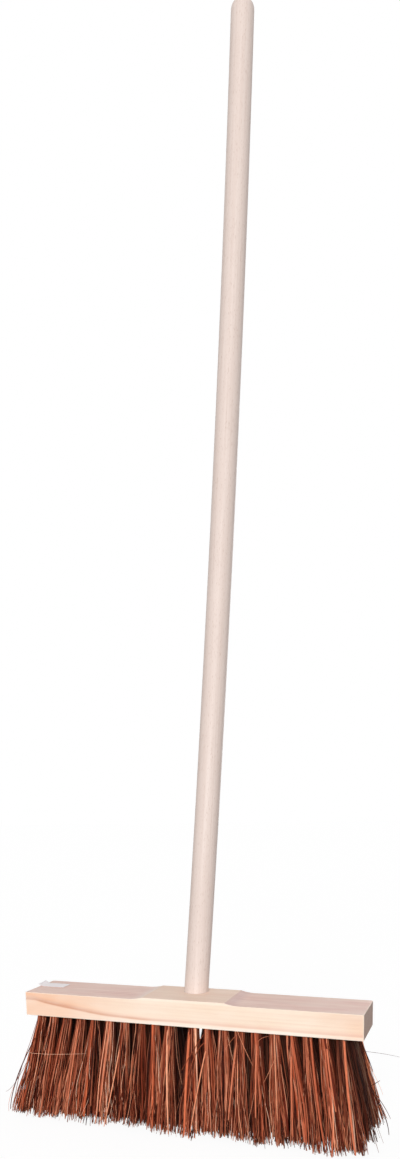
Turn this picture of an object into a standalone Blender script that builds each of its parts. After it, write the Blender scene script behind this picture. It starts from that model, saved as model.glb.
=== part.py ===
"""Street broom: a pine head with ranks of splayed fibre tufts on a leaning, domed beech handle.

All sizes are in metres. +Z is up, +X runs along the head and the handle leans back towards +Y.
The broom stands on its tips, and the origin lies on the ground under the middle of its whole box.
"""
import math
import random

import bmesh
import bpy
from mathutils import Matrix, Vector

# Head block
BLOCK_LENGTH = 0.400
BLOCK_DEPTH = 0.065
BLOCK_HEIGHT = 0.028
BLOCK_EDGE_ROUND = 0.0008
SADDLE_LENGTH = 0.098
SADDLE_RISE = 0.0024
SHOULDER_LENGTH = 0.017
SHOULDER_STEPS = 6

# Handle and its socket in the head
HANDLE_DIAMETER = 0.028
HANDLE_LENGTH = 1.200
HANDLE_LEAN = math.radians(11.4)
HANDLE_BOW = 0.005
HANDLE_DOME_HEIGHT = 0.006
HANDLE_FOOT_CHAMFER = 0.0015
SOCKET_BACK_WALL = 0.0035
SOCKET_FLOOR = 0.0065
HANDLE_SIDES = 36
HANDLE_BOW_STEPS = 14
HANDLE_DOME_STEPS = 5
HANDLE_CREASE_ANGLE = math.radians(40)

# Nail that pins the handle from the back of the head
NAIL_LENGTH = 0.030
NAIL_DIAMETER = 0.0022
NAIL_HEAD_DIAMETER = 0.0055
NAIL_HEAD_THICKNESS = 0.0012
NAIL_POINT_LENGTH = 0.0035
NAIL_HEAD_CROWN_SHARE = 0.7
NAIL_SIDES = 16

# Blank paper label on the left end of the head, its end standing past the wood
LABEL_LENGTH = 0.035
LABEL_WIDTH = 0.018
LABEL_THICKNESS = 0.0002
LABEL_OVERHANG = 0.0015
LABEL_FROM_BACK = 0.0155

# Tufts: ranks of holes, none under the handle, and fibres that spread towards the ground
BRISTLE_LENGTH = 0.125
TUFT_ROWS = 4
TUFT_PLACES = 21
TUFT_HOLE_DIAMETER = 0.010
TUFT_COVER = 0.0005
TUFT_FROM_END = 0.021
TUFT_FROM_FACE = 0.008
BACKING_THICKNESS = 0.003
STRANDS_PER_TUFT = 5
STRAND_SIDES = 3
STRAND_ROOT_RADIUS = 0.0016
STRAND_TIP_RADIUS = 0.0013
STRAND_EMBED = 0.001
STRAND_CLEARANCE = 0.0006
STRAND_BEND_SHARES = (0.45, 1.0)
SPREAD_POWER = 1.15
END_FLARE = 0.027
SIDE_FLARE = 0.0135
END_FLARE_POWER = 1.5
TIP_RAGGEDNESS = 0.0035
END_SHORTENING = 0.0015
END_SHORTENING_POWER = 6
TIP_TRIM = 0.0005
BRISTLE_SEED = 7

# Clearances and the length by which every cutter runs past its cut
SEAT_GAP = 0.0003
CUTTER_OVERRUN = 0.004

# Heights and places that follow from the sizes above
HANDLE_RADIUS = HANDLE_DIAMETER / 2
SOCKET_RADIUS = HANDLE_RADIUS + SEAT_GAP
UNDERSIDE_Z = BRISTLE_LENGTH
LOW_TOP_Z = UNDERSIDE_Z + BLOCK_HEIGHT
SADDLE_Z = LOW_TOP_Z + SADDLE_RISE
SOCKET_Y = BLOCK_DEPTH / 2 - SOCKET_BACK_WALL - SOCKET_RADIUS / math.cos(HANDLE_LEAN)
SOCKET_DEPTH = (SADDLE_Z - UNDERSIDE_Z - SOCKET_FLOOR
                - SOCKET_RADIUS * math.sin(HANDLE_LEAN)) / math.cos(HANDLE_LEAN)
HANDLE_SUNK = SOCKET_DEPTH - SEAT_GAP
HANDLE_SHOWN = HANDLE_LENGTH - HANDLE_SUNK
NAIL_Z = SADDLE_Z - SOCKET_DEPTH * math.cos(HANDLE_LEAN) / 2
OUTER_TUFT_X = BLOCK_LENGTH / 2 - TUFT_FROM_END
TUFT_PITCH = 2 * OUTER_TUFT_X / (TUFT_PLACES - 1)
BARE_PLACE = TUFT_PLACES // 2
OUTER_ROW_Y = BLOCK_DEPTH / 2 - TUFT_FROM_FACE
ROW_SPACING = 2 * OUTER_ROW_Y / (TUFT_ROWS - 1)
TUFT_HOLE_RADIUS = TUFT_HOLE_DIAMETER / 2
BACKING_HALF_LENGTH = OUTER_TUFT_X + TUFT_HOLE_RADIUS + TUFT_COVER
BACKING_HALF_DEPTH = OUTER_ROW_Y + TUFT_HOLE_RADIUS + TUFT_COVER


def clear_scene():
    """Start from an empty file."""
    for obj in list(bpy.data.objects):
        bpy.data.objects.remove(obj, do_unlink=True)


def make_material(name, colour, roughness, metallic=0.0):
    """A plain Principled finish, colour in linear RGB."""
    material = bpy.data.materials.new(name)
    material.use_nodes = True
    shader = material.node_tree.nodes["Principled BSDF"]
    shader.inputs["Base Color"].default_value = (*colour, 1.0)
    shader.inputs["Roughness"].default_value = roughness
    shader.inputs["Metallic"].default_value = metallic
    material.diffuse_color = (*colour, 1.0)
    return material


def add_object(name, bm, material, parent, place=Matrix.Identity(4)):
    """Turn a bmesh into a named sub-part, set at its place on the broom."""
    bmesh.ops.recalc_face_normals(bm, faces=bm.faces)
    mesh = bpy.data.meshes.new(name)
    bm.to_mesh(mesh)
    bm.free()
    obj = bpy.data.objects.new(name, mesh)
    bpy.context.scene.collection.objects.link(obj)
    obj.parent = parent
    obj.matrix_local = place
    if material is not None:
        mesh.materials.append(material)
    return obj


def add_cutter(name, bm, parent, place=Matrix.Identity(4)):
    """A helper solid that only shapes others."""
    cutter = add_object(name, bm, None, parent, place)
    cutter.hide_render = True
    cutter.display_type = 'WIRE'
    return cutter


def cut(obj, cutter):
    """Take the cutter's space out of a sub-part."""
    modifier = obj.modifiers.new("cut_" + cutter.name, 'BOOLEAN')
    modifier.operation = 'DIFFERENCE'
    modifier.solver = 'EXACT'
    modifier.object = cutter


def prism(outline, axis_vector):
    """A solid whose flat outline is extruded along a vector."""
    bm = bmesh.new()
    base = bm.faces.new([bm.verts.new(point) for point in outline])
    top = bmesh.ops.extrude_face_region(bm, geom=[base])
    moved = [item for item in top["geom"] if isinstance(item, bmesh.types.BMVert)]
    bmesh.ops.translate(bm, verts=moved, vec=axis_vector)
    return bm


def ring(bm, centre, radius, sides, turn=0.0):
    """A level ring of points round a centre."""
    points = []
    for side in range(sides):
        angle = turn + math.tau * side / sides
        offset = Vector((radius * math.cos(angle), radius * math.sin(angle), 0))
        points.append(bm.verts.new(centre + offset))
    return points


def skin_rings(bm, rings):
    """Join rings into a closed tube with a flat face at each end."""
    for lower, upper in zip(rings, rings[1:]):
        for side, corner in enumerate(lower):
            following = (side + 1) % len(lower)
            bm.faces.new((corner, lower[following], upper[following], upper[side]))
    bm.faces.new(rings[0])
    bm.faces.new(rings[-1])


def turned(profile, sides):
    """A turned solid from (radius, height) pairs, about Z; a zero radius closes it in a point."""
    bm = bmesh.new()
    spine = [bm.verts.new((radius, 0, height)) for radius, height in profile]
    edges = [bm.edges.new(pair) for pair in zip(spine, spine[1:])]
    bmesh.ops.spin(bm, geom=spine + edges, cent=(0, 0, 0), axis=(0, 0, 1),
                   angle=math.tau, steps=sides, use_merge=True)
    bmesh.ops.remove_doubles(bm, verts=bm.verts, dist=SEAT_GAP / 10)
    return bm


def handle_place():
    """The middle of the socket's mouth, with +Z up along the leaning handle."""
    return Matrix.Translation((0, SOCKET_Y, SADDLE_Z)) @ Matrix.Rotation(-HANDLE_LEAN, 4, 'X')


def nail_place():
    """The nail's hole in the back of the head, with +Z out of the wood."""
    return Matrix.Translation((0, BLOCK_DEPTH / 2, NAIL_Z)) @ Matrix.Rotation(-math.pi / 2, 4, 'X')


def block_outline():
    """The head seen from the front: level ends, and a saddle between two hollow shoulders."""
    half_length = BLOCK_LENGTH / 2
    half_saddle = SADDLE_LENGTH / 2
    hollow_radius = (SHOULDER_LENGTH ** 2 + SADDLE_RISE ** 2) / (2 * SADDLE_RISE)
    shoulder = []
    for step in range(SHOULDER_STEPS + 1):
        run = SHOULDER_LENGTH * step / SHOULDER_STEPS
        rise = hollow_radius - math.sqrt(hollow_radius ** 2 - run ** 2)
        shoulder.append((half_saddle + SHOULDER_LENGTH - run, LOW_TOP_Z + rise))
    right_side = [(half_length, UNDERSIDE_Z), (half_length, LOW_TOP_Z)] + shoulder
    left_side = [(-x, z) for x, z in reversed(right_side)]
    return [(x, -BLOCK_DEPTH / 2, z) for x, z in right_side + left_side]


def make_head_block(material, parent):
    """The pine head, before its socket, nail hole and tuft bed are cut."""
    bm = prism(block_outline(), Vector((0, BLOCK_DEPTH, 0)))
    block = add_object("head_block", bm, material, parent)
    rounding = block.modifiers.new("worn_edges", 'BEVEL')
    rounding.width = BLOCK_EDGE_ROUND
    rounding.segments = 2
    rounding.limit_method = 'ANGLE'
    return block


def make_socket_cutter(parent):
    """The blind hole for the handle, leaning back as the handle does."""
    bm = bmesh.new()
    reach = HANDLE_RADIUS + CUTTER_OVERRUN
    rings = [ring(bm, Vector((0, 0, height)), SOCKET_RADIUS, HANDLE_SIDES)
             for height in (-SOCKET_DEPTH, reach)]
    skin_rings(bm, rings)
    return add_cutter("socket_cutter", bm, parent, handle_place())


def make_bed_cutter(side, parent):
    """The bed that the backing slices fill, under the head's left (-1) or right (1) half."""
    inner = side * (TUFT_PITCH - SEAT_GAP) / 2
    outer = side * (BACKING_HALF_LENGTH + SEAT_GAP)
    half_depth = BACKING_HALF_DEPTH + SEAT_GAP
    bottom = UNDERSIDE_Z - CUTTER_OVERRUN
    top = UNDERSIDE_Z + BACKING_THICKNESS + SEAT_GAP
    corners = [(inner, -half_depth), (outer, -half_depth), (outer, half_depth), (inner, half_depth)]
    bm = prism([(x, y, bottom) for x, y in corners], Vector((0, 0, top - bottom)))
    return add_cutter("left_bed_cutter" if side < 0 else "right_bed_cutter", bm, parent)


def make_handle(material, parent):
    """The beech stick: chamfered foot, a slight natural bow, and a low dome on top."""
    bm = bmesh.new()
    foot = -HANDLE_SUNK
    stations = [(foot, HANDLE_RADIUS - HANDLE_FOOT_CHAMFER), (foot + HANDLE_FOOT_CHAMFER, HANDLE_RADIUS)]
    straight_end = HANDLE_SHOWN - HANDLE_DOME_HEIGHT
    for step in range(HANDLE_BOW_STEPS + 1):
        stations.append((straight_end * step / HANDLE_BOW_STEPS, HANDLE_RADIUS))
    for step in range(1, HANDLE_DOME_STEPS + 1):
        angle = math.pi / 2 * step / (HANDLE_DOME_STEPS + 1)
        height = straight_end + HANDLE_DOME_HEIGHT * math.sin(angle)
        stations.append((height, HANDLE_RADIUS * math.cos(angle)))
    rings = []
    for height, radius in stations:
        share = max(0.0, height / HANDLE_SHOWN)
        sideways = 4 * HANDLE_BOW * share * (1 - share)
        rings.append(ring(bm, Vector((sideways, 0, height)), radius, HANDLE_SIDES))
    skin_rings(bm, rings)
    handle = add_object("handle", bm, material, parent, handle_place())
    handle.data.shade_smooth()
    handle.data.set_sharp_from_angle(angle=HANDLE_CREASE_ANGLE)
    return handle


def make_nail(material, parent):
    """The wire nail, its head on the back of the wood and its point inside the handle."""
    shank = NAIL_DIAMETER / 2
    head = NAIL_HEAD_DIAMETER / 2
    rim_top = SEAT_GAP + NAIL_HEAD_THICKNESS * NAIL_HEAD_CROWN_SHARE
    profile = [(0, SEAT_GAP + NAIL_HEAD_THICKNESS),
               (head * NAIL_HEAD_CROWN_SHARE, SEAT_GAP + NAIL_HEAD_THICKNESS),
               (head, rim_top), (head, SEAT_GAP), (shank, SEAT_GAP),
               (shank, NAIL_POINT_LENGTH - NAIL_LENGTH), (0, -NAIL_LENGTH)]
    return add_object("handle_nail", turned(profile, NAIL_SIDES), material, parent, nail_place())


def make_nail_cutter(parent):
    """The hole that the nail leaves in the head and in the handle."""
    radius = NAIL_DIAMETER / 2 + SEAT_GAP
    floor = -NAIL_LENGTH - SEAT_GAP
    profile = [(0, CUTTER_OVERRUN), (radius, CUTTER_OVERRUN), (radius, floor), (0, floor)]
    return add_cutter("nail_hole_cutter", turned(profile, NAIL_SIDES), parent, nail_place())


def make_label(material, parent):
    """The blank label, lying on the head's low left top."""
    left = -BLOCK_LENGTH / 2 - LABEL_OVERHANG
    back = BLOCK_DEPTH / 2 - LABEL_FROM_BACK
    corners = [(left, back - LABEL_WIDTH), (left + LABEL_LENGTH, back - LABEL_WIDTH),
               (left + LABEL_LENGTH, back), (left, back)]
    outline = [(x, y, LOW_TOP_Z + SEAT_GAP) for x, y in corners]
    return add_object("label", prism(outline, Vector((0, 0, LABEL_THICKNESS))), material, parent)


def row_y(row):
    """A tuft row's distance behind the head's middle."""
    return row * ROW_SPACING - OUTER_ROW_Y


def tuft_x(place):
    """A rank's place along the head."""
    return place * TUFT_PITCH - OUTER_TUFT_X


def backing_slice(place):
    """One slice of the head's underside, with its seams midway between the ranks."""
    half_width = (TUFT_PITCH - SEAT_GAP) / 2
    left = tuft_x(place) - half_width
    right = tuft_x(place) + half_width
    if place == 0:
        left = -BACKING_HALF_LENGTH
    if place + 1 == TUFT_PLACES:
        right = BACKING_HALF_LENGTH
    corners = [(left, -BACKING_HALF_DEPTH), (right, -BACKING_HALF_DEPTH),
               (right, BACKING_HALF_DEPTH), (left, BACKING_HALF_DEPTH)]
    return prism([(x, y, UNDERSIDE_Z) for x, y in corners], Vector((0, 0, BACKING_THICKNESS)))


def spread(x, y, ring_x, ring_y, drop_share):
    """Where a strand has got to on its way down, from its tuft's centre and its place in the tuft."""
    opened = drop_share ** SPREAD_POWER
    tip_ring = TUFT_PITCH / 2 - STRAND_TIP_RADIUS - STRAND_CLEARANCE
    root_ring = TUFT_HOLE_RADIUS - STRAND_ROOT_RADIUS
    ring_radius = root_ring + (tip_ring - root_ring) * opened
    lean_x = math.copysign(END_FLARE * abs(x / OUTER_TUFT_X) ** END_FLARE_POWER, x)
    lean_y = SIDE_FLARE * y / OUTER_ROW_Y
    return Vector((x + lean_x * opened + ring_x * ring_radius,
                   y + lean_y * opened + ring_y * ring_radius, 0))


def add_tuft(bm, x, y, dice):
    """The strands of one tuft, splayed towards level-cut tips."""
    turn = dice.uniform(0, math.tau)
    tilt = abs(x) / OUTER_TUFT_X
    for strand in range(STRANDS_PER_TUFT):
        angle = turn + math.tau * strand / STRANDS_PER_TUFT
        ring_x = math.copysign(1, x) * math.cos(angle)
        ring_y = math.sin(angle)
        facing = math.atan2(ring_y, ring_x)
        short_by = TIP_RAGGEDNESS * dice.random() ** 2 + END_SHORTENING * tilt ** END_SHORTENING_POWER
        if short_by < TIP_TRIM:
            short_by = 0
        length = BRISTLE_LENGTH - short_by
        rings = [ring(bm, spread(x, y, ring_x, ring_y, 0) + Vector((0, 0, UNDERSIDE_Z + STRAND_EMBED)),
                      STRAND_ROOT_RADIUS, STRAND_SIDES, facing)]
        for share in STRAND_BEND_SHARES:
            place = spread(x, y, ring_x, ring_y, share * length / BRISTLE_LENGTH)
            place.z = UNDERSIDE_Z - length * share
            radius = STRAND_ROOT_RADIUS + (STRAND_TIP_RADIUS - STRAND_ROOT_RADIUS) * share
            rings.append(ring(bm, place, radius, STRAND_SIDES, facing))
        skin_rings(bm, rings)


def make_tuft_rank(number, place, material, parent):
    """A backing slice and the tufts that stand in line across it, fused to it."""
    strands = bmesh.new()
    for row in range(TUFT_ROWS):
        x = tuft_x(place)
        dice = random.Random(f"{BRISTLE_SEED} {row} {round(abs(x) / TUFT_PITCH)}")
        add_tuft(strands, x, row_y(row), dice)
    rank = add_object(f"tuft_rank_{number:02d}", backing_slice(place), material, parent)
    bristles = add_cutter(f"strands_{number:02d}", strands, parent)
    join = rank.modifiers.new("strands", 'BOOLEAN')
    join.operation = 'UNION'
    join.solver = 'EXACT'
    join.object = bristles
    return rank


def stand_on_origin(root):
    """Move the whole broom so that the middle of its box lies over the origin."""
    bpy.context.view_layer.update()
    depsgraph = bpy.context.evaluated_depsgraph_get()
    points = []
    for obj in root.children:
        if not obj.hide_render:
            solid = obj.evaluated_get(depsgraph)
            points += [solid.matrix_world @ vertex.co for vertex in solid.data.vertices]
    for axis in (0, 1):
        values = [point[axis] for point in points]
        root.location[axis] = -(min(values) + max(values)) / 2


def build():
    """Make every sub-part and set the broom on the ground."""
    clear_scene()
    root = bpy.data.objects.new("broom", None)
    bpy.context.scene.collection.objects.link(root)
    pine = make_material("pine", (0.90, 0.68, 0.46), 0.6)
    beech = make_material("beech", (0.80, 0.66, 0.58), 0.55)
    fibre = make_material("palm_fibre", (0.17, 0.05, 0.025), 0.7)
    steel = make_material("steel", (0.55, 0.55, 0.56), 0.35, 1.0)
    paper = make_material("paper", (0.90, 0.90, 0.91), 0.5)

    block = make_head_block(pine, root)
    handle = make_handle(beech, root)
    make_nail(steel, root)
    nail_hole = make_nail_cutter(root)
    cut(block, make_socket_cutter(root))
    cut(block, make_bed_cutter(-1, root))
    cut(block, make_bed_cutter(1, root))
    cut(block, nail_hole)
    cut(handle, nail_hole)
    make_label(paper, root)
    tufted_places = [place for place in range(TUFT_PLACES) if place != BARE_PLACE]
    for number, place in enumerate(tufted_places, start=1):
        make_tuft_rank(number, place, fibre, root)
    stand_on_origin(root)
    print("broom moved by", [round(value, 6) for value in root.location])


build()
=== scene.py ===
"""Looks of the street broom: a planed pine head, a turned beech handle and 80 tufts of palm fibre."""
import math

import bmesh
import bpy
from mathutils import Euler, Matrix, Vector


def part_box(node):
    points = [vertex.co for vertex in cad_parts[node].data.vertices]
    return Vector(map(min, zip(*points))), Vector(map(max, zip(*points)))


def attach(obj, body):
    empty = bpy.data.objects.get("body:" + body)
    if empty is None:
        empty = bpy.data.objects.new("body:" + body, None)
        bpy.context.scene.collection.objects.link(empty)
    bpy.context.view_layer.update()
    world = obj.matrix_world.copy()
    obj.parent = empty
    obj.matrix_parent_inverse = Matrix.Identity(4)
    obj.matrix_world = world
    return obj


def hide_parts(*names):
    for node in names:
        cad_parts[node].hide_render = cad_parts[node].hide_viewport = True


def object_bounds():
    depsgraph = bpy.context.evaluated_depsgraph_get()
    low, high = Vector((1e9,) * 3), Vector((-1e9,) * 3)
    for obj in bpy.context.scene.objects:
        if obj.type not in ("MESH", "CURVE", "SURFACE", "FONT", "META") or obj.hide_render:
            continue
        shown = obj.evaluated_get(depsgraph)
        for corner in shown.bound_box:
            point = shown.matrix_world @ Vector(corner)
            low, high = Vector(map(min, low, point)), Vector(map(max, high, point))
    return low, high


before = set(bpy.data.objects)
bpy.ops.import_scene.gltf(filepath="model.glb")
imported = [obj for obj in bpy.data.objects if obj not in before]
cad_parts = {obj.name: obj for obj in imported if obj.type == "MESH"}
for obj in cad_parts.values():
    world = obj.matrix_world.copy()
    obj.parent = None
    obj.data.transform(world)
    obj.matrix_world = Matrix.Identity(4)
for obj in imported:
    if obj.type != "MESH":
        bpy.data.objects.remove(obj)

cad_low, cad_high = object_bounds()

# Head: one planed pine board, sawn to length, with a raised saddle left standing in the middle.
# It is drilled from below for the tufts, and on a slant from above for the handle.
HEAD_LOW, HEAD_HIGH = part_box("head_block")
HEAD_MIDDLE_Y = (HEAD_LOW.y + HEAD_HIGH.y) / 2
HEAD_HALF_LENGTH = (HEAD_HIGH.x - HEAD_LOW.x) / 2
HEAD_DEPTH = HEAD_HIGH.y - HEAD_LOW.y
UNDERSIDE_Z = HEAD_LOW.z
SADDLE_Z = HEAD_HIGH.z
SADDLE_RISE = 0.0024
LOW_TOP_Z = SADDLE_Z - SADDLE_RISE
SADDLE_LENGTH = 0.098
SHOULDER_LENGTH = 0.017
SHOULDER_STEPS = 14
HEAD_EDGE_ROUND = 0.0006
HEAD_EDGE_STEPS = 3
SOCKET_RADIUS = 0.0142
SOCKET_DEPTH = 0.0213
HANDLE_LEAN = math.radians(11.4)
WOOD_BEHIND_MOUTH = 0.0035
MOUTH_RADIUS = 0.0143
MOUTH_Y = HEAD_HIGH.y - WOOD_BEHIND_MOUTH - MOUTH_RADIUS / math.cos(HANDLE_LEAN)
SOCKET_MOUTH = Vector((0.0, MOUTH_Y, SADDLE_Z))
HANDLE_AXIS = Vector((0.0, math.sin(HANDLE_LEAN), math.cos(HANDLE_LEAN)))
HANDLE_FOOT = SOCKET_MOUTH - HANDLE_AXIS * SOCKET_DEPTH
NAIL_LOW, NAIL_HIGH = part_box("handle_nail")
NAIL_PLACE = Vector((0.0, HEAD_HIGH.y, (NAIL_LOW.z + NAIL_HIGH.z) / 2))
NAIL_HOLE_RADIUS = 0.0012
HOLE_DIAMETER = 0.010
HOLE_DEPTH = 0.009
HOLE_SIDES = 18
DRILL_SIDES = 48
TUFT_PLACES = 21
TUFT_ROWS = 4
TUFT_FROM_END = 0.021
TUFT_FROM_FACE = 0.008
OUTER_TUFT_X = HEAD_HALF_LENGTH - TUFT_FROM_END
OUTER_ROW_Y = HEAD_DEPTH / 2 - TUFT_FROM_FACE
TUFT_PITCH = 2 * OUTER_TUFT_X / (TUFT_PLACES - 1)
ROW_SPACING = 2 * OUTER_ROW_Y / (TUFT_ROWS - 1)
BARE_HALF_WIDTH = TUFT_PITCH / 2
BESIDE_BARE = TUFT_PITCH * 1.5
FRONT_ROW_SHIFT = -0.0042
FIRST_RANK_SHIFT = -0.002
RIGHT_PULL = -0.0040
RIGHT_PULL_NEAR = (0.0, 0.045, 0.7, 1.0)
RIGHT_PULL_REACH = (0.065, 0.110, 1.0, 0.0)
LEFT_PULL = 0.0054
LEFT_PULL_REACH = (0.015, 0.115, 1.0, 0.0)
SECOND_ROW_PUSH = 0.005
HELPER_VALUES = ("tuft", "row", "home", "ring", "lean", "sway", "cut", "girth", "turn", "thick")


class Wire:
    """A node's output that can stand in a sum, so that a rule reads as it would on paper."""

    def __init__(self, tree, socket):
        self.tree = tree
        self.socket = socket

    def op(self, operation, *others):
        """One Math node on this value and the others."""
        return Wire(self.tree, put(self.tree, "ShaderNodeMath", dict(enumerate((self, *others))),
                                   operation=operation).outputs[0])

    def __add__(self, other):
        return self.op("ADD", other)

    def __sub__(self, other):
        return self.op("SUBTRACT", other)

    def __mul__(self, other):
        return self.op("MULTIPLY", other)

    def __truediv__(self, other):
        return self.op("DIVIDE", other)

    def __pow__(self, other):
        return self.op("POWER", other)

    def rest(self):
        """What this share leaves of 1."""
        return self * -1 + 1

    def ramp(self, low, high, to_low=0.0, to_high=1.0, smooth=False):
        """This value's share of the way from low to high, clamped."""
        made = put(self.tree, "ShaderNodeMapRange",
                   {"Value": self, "From Min": low, "From Max": high, "To Min": to_low, "To Max": to_high},
                   interpolation_type="SMOOTHSTEP" if smooth else "LINEAR")
        return Wire(self.tree, made.outputs[0])


def put(tree, kind, sockets=None, **settings):
    """Add a node, set it up, and fill or link its sockets by name or number."""
    made = tree.nodes.new(kind)
    for name, value in settings.items():
        setattr(made, name, value)
    for key, value in (sockets or {}).items():
        if isinstance(key, int):
            socket = made.inputs[key]
        else:
            socket = next(found for found in made.inputs if found.enabled and found.name == key)
        for item in value if isinstance(value, list) else [value]:
            if isinstance(item, Wire):
                tree.links.new(item.socket, socket)
            else:
                socket.default_value = item
    return made


def out(tree, kind, sockets=None, name=None, **settings):
    """Add a node and give one of its outputs, the first if none is named."""
    made = put(tree, kind, sockets, **settings)
    if name is None:
        return Wire(tree, next(found for found in made.outputs if found.enabled))
    return Wire(tree, next(found for found in made.outputs if found.enabled and found.name == name))


def new_tree(name, kind, inputs, outputs=(("Geometry", "Geometry"),)):
    """An empty node group with named sockets; gives the group, its input wires and its output node."""
    tree = bpy.data.node_groups.new(name, kind)
    for label, socket_type, value in inputs:
        socket = tree.interface.new_socket(label, in_out="INPUT", socket_type="NodeSocket" + socket_type)
        if value is not None:
            socket.default_value = value
    for label, socket_type in outputs:
        tree.interface.new_socket(label, in_out="OUTPUT", socket_type="NodeSocket" + socket_type)
    given = tree.nodes.new("NodeGroupInput")
    wires = {label: Wire(tree, given.outputs[label]) for label, *_ in inputs}
    return tree, wires, tree.nodes.new("NodeGroupOutput")


def xyz(tree, x, y, z):
    """Three values as one vector."""
    return out(tree, "ShaderNodeCombineXYZ", {"X": x, "Y": y, "Z": z})


def parts_of(vector):
    """A vector as its three values."""
    made = put(vector.tree, "ShaderNodeSeparateXYZ", {"Vector": vector})
    return [Wire(vector.tree, socket) for socket in made.outputs]


def dice(tree, number, low, high, seed):
    """A random value that belongs to a numbered thing."""
    return out(tree, "FunctionNodeRandomValue", {"Min": low, "Max": high, "ID": number, "Seed": seed},
               data_type="FLOAT")


def noise(tree, vector, scale=1.0, detail=2.0, **others):
    """Soft noise between 0 and 1."""
    return out(tree, "ShaderNodeTexNoise", {"Vector": vector, "Scale": scale, "Detail": detail, **others})


def note(shape, name, value, kind="FLOAT"):
    """Write a value on each point of a shape."""
    return out(shape.tree, "GeometryNodeStoreNamedAttribute",
               {"Geometry": shape, "Name": name, "Value": value}, data_type=kind, domain="POINT")


def noted(tree, name, kind="FLOAT"):
    """Read back a value that was written on the points."""
    return out(tree, "GeometryNodeInputNamedAttribute", {"Name": name}, data_type=kind)


def noted_parts(tree, name):
    """Read back a vector that was written on the points, as its three values."""
    return parts_of(noted(tree, name, "FLOAT_VECTOR"))


def painted(tree, name):
    """Read such a value in a finish."""
    return Wire(tree, put(tree, "ShaderNodeAttribute", attribute_name=name).outputs["Fac"])


def moved(shape, **how):
    """A shape moved, turned or scaled."""
    return out(shape.tree, "GeometryNodeTransform", {"Geometry": shape, **how})


def swept(curve, sides, flatness, girth):
    """A solid skin around a curve, round or flattened."""
    tree = curve.tree
    profile = out(tree, "GeometryNodeCurvePrimitiveCircle", {"Resolution": sides, "Radius": 1.0})
    profile = moved(profile, Scale=xyz(tree, 1.0, flatness, 1.0))
    return out(tree, "GeometryNodeCurveToMesh",
               {"Curve": curve, "Profile Curve": profile, "Scale": girth, "Fill Caps": True})


def hand_over(made, shape, material):
    """End a tree: plain meshes with one material."""
    tree = shape.tree
    shape = out(tree, "GeometryNodeRealizeInstances", {"Geometry": shape})
    shape = out(tree, "GeometryNodeSetMaterial", {"Geometry": shape, "Material": material})
    tree.links.new(shape.socket, made.inputs[0])
    return tree


def placed(name, data):
    """A new object in the scene."""
    made = bpy.data.objects.new(name, data)
    bpy.context.scene.collection.objects.link(made)
    return made


def mesh_of(bm, name):
    """The mesh that was put together in a bmesh."""
    mesh = bpy.data.meshes.new(name)
    bm.to_mesh(mesh)
    bm.free()
    return mesh


def grown(name, tree, values, base=None):
    """Run a Geometry Nodes tree, on a base object if there is one, and keep the plain mesh it makes."""
    holder = base or placed("holder", bpy.data.meshes.new("holder"))
    modifier = holder.modifiers.new(tree.name, "NODES")
    modifier.node_group = tree
    for item in tree.interface.items_tree:
        if item.item_type == "SOCKET" and item.in_out == "INPUT" and item.name in values:
            modifier[item.identifier] = values[item.name]
    depsgraph = bpy.context.evaluated_depsgraph_get()
    mesh = bpy.data.meshes.new_from_object(holder.evaluated_get(depsgraph), preserve_all_data_layers=True,
                                           depsgraph=depsgraph)
    bpy.data.objects.remove(holder, do_unlink=True)
    for helper in [found.name for found in mesh.attributes if found.name in HELPER_VALUES]:
        mesh.attributes.remove(mesh.attributes[helper])
    mesh.name = name
    return placed(name, mesh)


def make_tuft_places():
    """The drilled places from one rank to another, none in the bare middle."""
    tree, given, made = new_tree("tuft_places", "GeometryNodeTree",
                                 [("First Place", "Int", 0), ("Last Place", "Int", TUFT_PLACES - 1)],
                                 [("Points", "Geometry")])
    index = out(tree, "GeometryNodeInputIndex")
    row = index.op("MODULO", TUFT_ROWS)
    place = (index / TUFT_ROWS).op("FLOOR") + given["First Place"]
    x = place * TUFT_PITCH - OUTER_TUFT_X
    y = row * ROW_SPACING - OUTER_ROW_Y
    count = (given["Last Place"] - given["First Place"] + 1) * TUFT_ROWS
    points = out(tree, "GeometryNodePoints",
                 {"Count": count, "Position": xyz(tree, x, y + HEAD_MIDDLE_Y, UNDERSIDE_Z)})
    points = note(points, "tuft", place * TUFT_ROWS + row)
    points = note(points, "row", row)
    here_x = parts_of(out(tree, "GeometryNodeInputPosition"))[0]
    bare = here_x.op("ABSOLUTE").op("LESS_THAN", BARE_HALF_WIDTH)
    points = out(tree, "GeometryNodeDeleteGeometry", {"Geometry": points, "Selection": bare})
    front = noted(tree, "row").op("LESS_THAN", 0.5)
    first_rank = here_x.op("LESS_THAN", TUFT_PITCH / 2 - OUTER_TUFT_X)
    on_right = here_x.op("GREATER_THAN", 0.0)
    to_left = here_x.ramp(*RIGHT_PULL_NEAR) * here_x.ramp(*RIGHT_PULL_REACH) * RIGHT_PULL
    to_right = (here_x * -1).ramp(*LEFT_PULL_REACH) * LEFT_PULL
    pulled = (on_right * to_left + on_right.rest() * to_right) * front
    second_row = (noted(tree, "row") - 1).op("ABSOLUTE").op("LESS_THAN", 0.5)
    pushed = second_row * on_right * here_x.op("LESS_THAN", BESIDE_BARE) * SECOND_ROW_PUSH
    rank_shift = first_rank * FIRST_RANK_SHIFT + first_rank.rest() * front * FRONT_ROW_SHIFT
    shift = xyz(tree, rank_shift + pulled + pushed, 0.0, 0.0)
    points = out(tree, "GeometryNodeSetPosition", {"Geometry": points, "Offset": shift})
    tree.links.new(points.socket, made.inputs[0])
    return tree


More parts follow.
